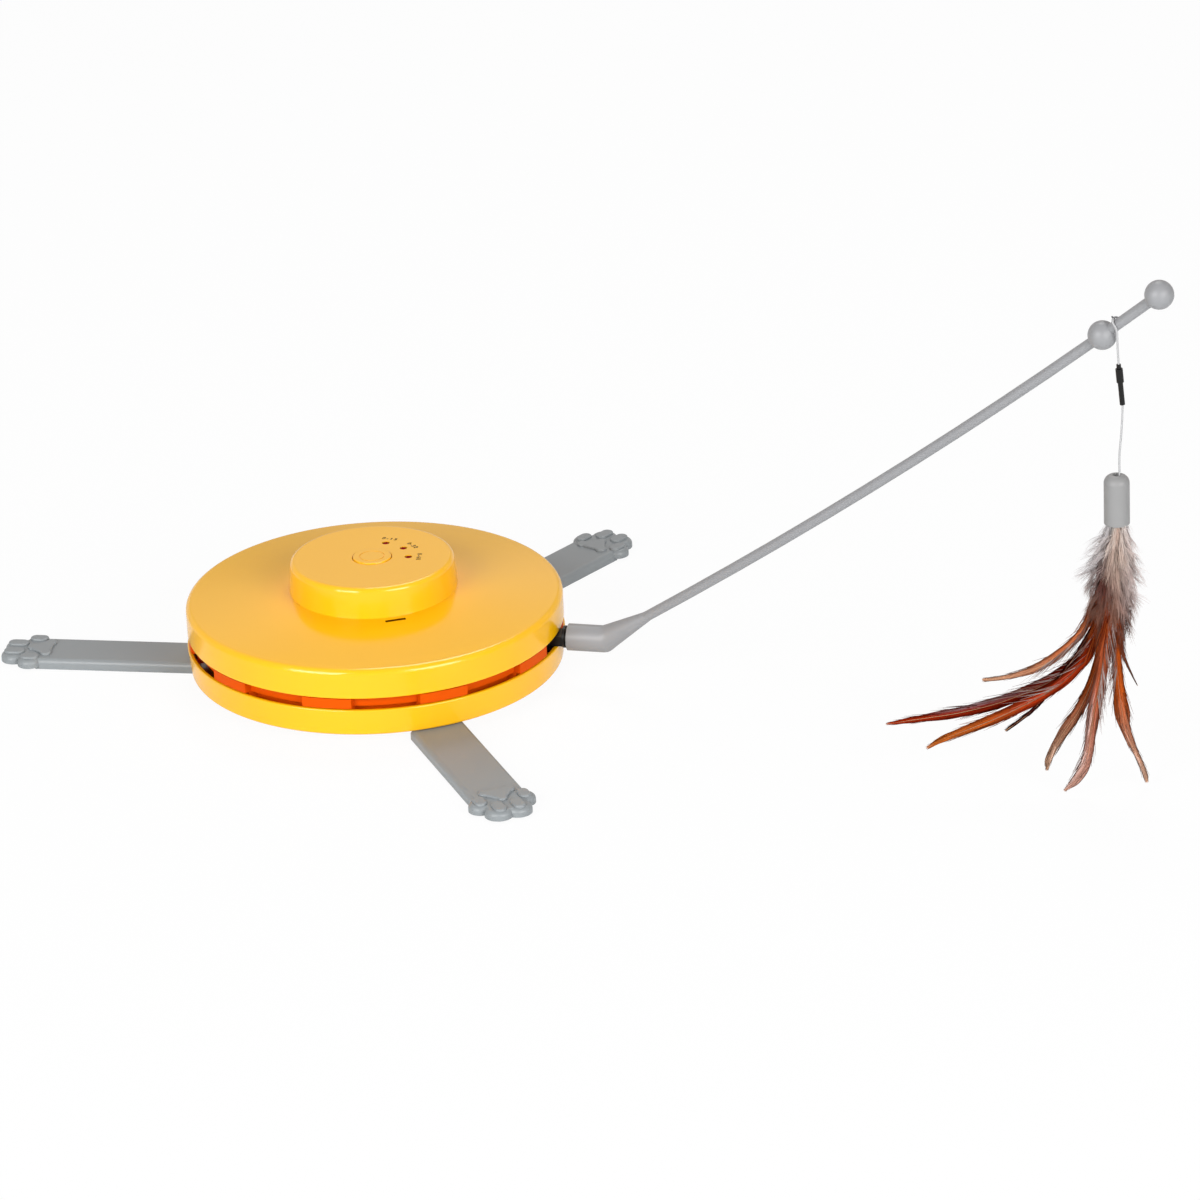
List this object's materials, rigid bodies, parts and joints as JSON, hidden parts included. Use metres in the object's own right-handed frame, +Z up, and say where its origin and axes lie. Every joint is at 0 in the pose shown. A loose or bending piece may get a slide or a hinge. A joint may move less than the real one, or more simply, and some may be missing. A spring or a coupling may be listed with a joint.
{
  "type": "cat feather toy",
  "caption": "Battery pet toy: a round base on paw-shaped legs turns a long wand, and feathers hang from its end on a string.",
  "frame": {"origin": "centre of the bottom cover's underside, on the floor", "axes": "+Z up along the base's axis, +X to the right in the picture, +Y away from the viewer; the wand leaves the base towards +X and slightly -Y"},
  "size_m": [0.578, 0.3428, 0.2604],
  "materials": {
    "yellow_shell": "moulded, glossy",
    "yellow_hub": "moulded, glossy",
    "grey_legs": "moulded, satin",
    "orange_drum": "moulded, glossy",
    "black_plastic": "moulded, satin",
    "grey_plastic": "moulded, satin",
    "natural_plastic": "moulded, satin",
    "lamp_red": "moulded, clear dark red",
    "circuit_green": "lacquered laminate",
    "cell_jacket": "printed foil jacket",
    "screw_steel": "zinc plated",
    "spring_steel": "nickel plated",
    "motor_steel": "plated",
    "seal_rubber": "matte",
    "wire_red": "insulated wire",
    "wire_black": "insulated wire",
    "white_string": "braided string",
    "pale_feather": "soft down",
    "rust_feather": "dyed hackle"
  },
  "bodies": {
    "base": {"lower_housing": "yellow_shell", "bottom_cover": "yellow_shell", "cover_screws": "screw_steel", "battery_cells": "cell_jacket", "battery_contacts": "spring_steel", "contact_springs": "spring_steel", "centre_column": "natural_plastic", "column_screws": "screw_steel", "thrust_washer": "natural_plastic", "gearbox_base": "natural_plastic", "plate_screws": "screw_steel", "gearbox_top": "natural_plastic", "pillar_screws": "screw_steel", "gear_pins": "screw_steel", "motor": "motor_steel", "motor_screws": "screw_steel", "upper_housing": "yellow_shell", "housing_screws": "screw_steel", "hub_cap": "yellow_hub", "control_board": "circuit_green", "board_screws": "screw_steel", "tact_switch": "black_plastic", "indicator_lamps": "lamp_red", "battery_lead_red": "wire_red", "battery_lead_black": "wire_black", "motor_leads": "wire_black"},
    "rotor": {"turntable": "orange_drum", "rotor_bush": "natural_plastic", "ring_gear": "natural_plastic", "gear_screws": "screw_steel", "wand_arm": "black_plastic", "arm_screws": "screw_steel", "swivel_screw": "screw_steel"},
    "swivel": {"swivel_bush": "black_plastic", "o_ring": "seal_rubber"},
    "wand": {"wand": "grey_plastic"},
    "lure": {"upper_string": "white_string", "string_clasp": "black_plastic", "lower_string": "white_string", "feather_cap": "grey_plastic", "hackle_feathers": "rust_feather", "fluff_feathers": "pale_feather"},
    "second_gear": {"gear_two": "natural_plastic"},
    "first_gear": {"gear_one": "natural_plastic"},
    "motor_rotor": {"motor_shaft": "motor_steel", "motor_pinion": "natural_plastic"},
    "button": {"power_button": "yellow_hub", "switch_plunger": "black_plastic"},
    "door": {"battery_door": "yellow_shell"},
    "leg_back": {"paw_leg_back": "grey_legs"},
    "leg_left": {"paw_leg_left": "grey_legs"},
    "leg_front": {"paw_leg_front": "grey_legs"}
  },
  "joints": [
    {"name": "rotor_spin", "type": "hinge", "parent": "base", "child": "rotor", "pos_m": [0, 0, 0.0215], "axis": [0, 0, 1], "continuous": true},
    {"name": "gear_two_spin", "type": "hinge", "parent": "base", "child": "second_gear", "pos_m": [-0.02706, -0.00985, 0.03], "axis": [0, 0, 1], "continuous": true},
    {"name": "gear_one_spin", "type": "hinge", "parent": "base", "child": "first_gear", "pos_m": [-0.02967, 0.00492, 0.033], "axis": [0, 0, 1], "continuous": true},
    {"name": "motor_spin", "type": "hinge", "parent": "base", "child": "motor_rotor", "pos_m": [-0.0225, 0.01516, 0.038], "axis": [0, 0, 1], "continuous": true},
    {"name": "wand_roll", "type": "hinge", "parent": "rotor", "child": "swivel", "pos_m": [0.09695, -0.02453, 0.0235], "axis": [0.9694, -0.2453, 0], "range_deg": [-40, 0]},
    {"name": "wand_pull", "type": "slide", "parent": "swivel", "child": "wand", "axis": [0.9694, -0.2453, 0], "range_m": [0, 0.02]},
    {"name": "lure_swing", "type": "hinge", "parent": "wand", "child": "lure", "pos_m": [0.35975, -0.17039, 0.23488], "axis": [0.6511, -0.4056, 0.6416], "range_deg": [-40, 40]},
    {"name": "button_press", "type": "slide", "parent": "base", "child": "button", "axis": [0, 0, -1], "range_m": [0, 0.0008], "stiffness_N_per_m": 2000},
    {"name": "battery_door_hinge", "type": "hinge", "parent": "base", "child": "door", "pos_m": [-0.00511, 0.0141, 0], "axis": [-0.9403, -0.3404, 0], "range_deg": [0, 70]},
    {"name": "leg_back_pull", "type": "slide", "parent": "base", "child": "leg_back", "axis": [0.6441, 0.7649, 0], "range_m": [0, 0.028]},
    {"name": "leg_left_pull", "type": "slide", "parent": "base", "child": "leg_left", "axis": [-0.9845, 0.1754, 0], "range_m": [0, 0.028]},
    {"name": "leg_front_pull", "type": "slide", "parent": "base", "child": "leg_front", "axis": [0.3404, -0.9403, 0], "range_m": [0, 0.028]}
  ],
  "couplings": [
    {"joint": "gear_two_spin", "follows": "rotor_spin", "ratio": -5},
    {"joint": "gear_one_spin", "follows": "rotor_spin", "ratio": 20},
    {"joint": "motor_spin", "follows": "rotor_spin", "ratio": -80}
  ]
}
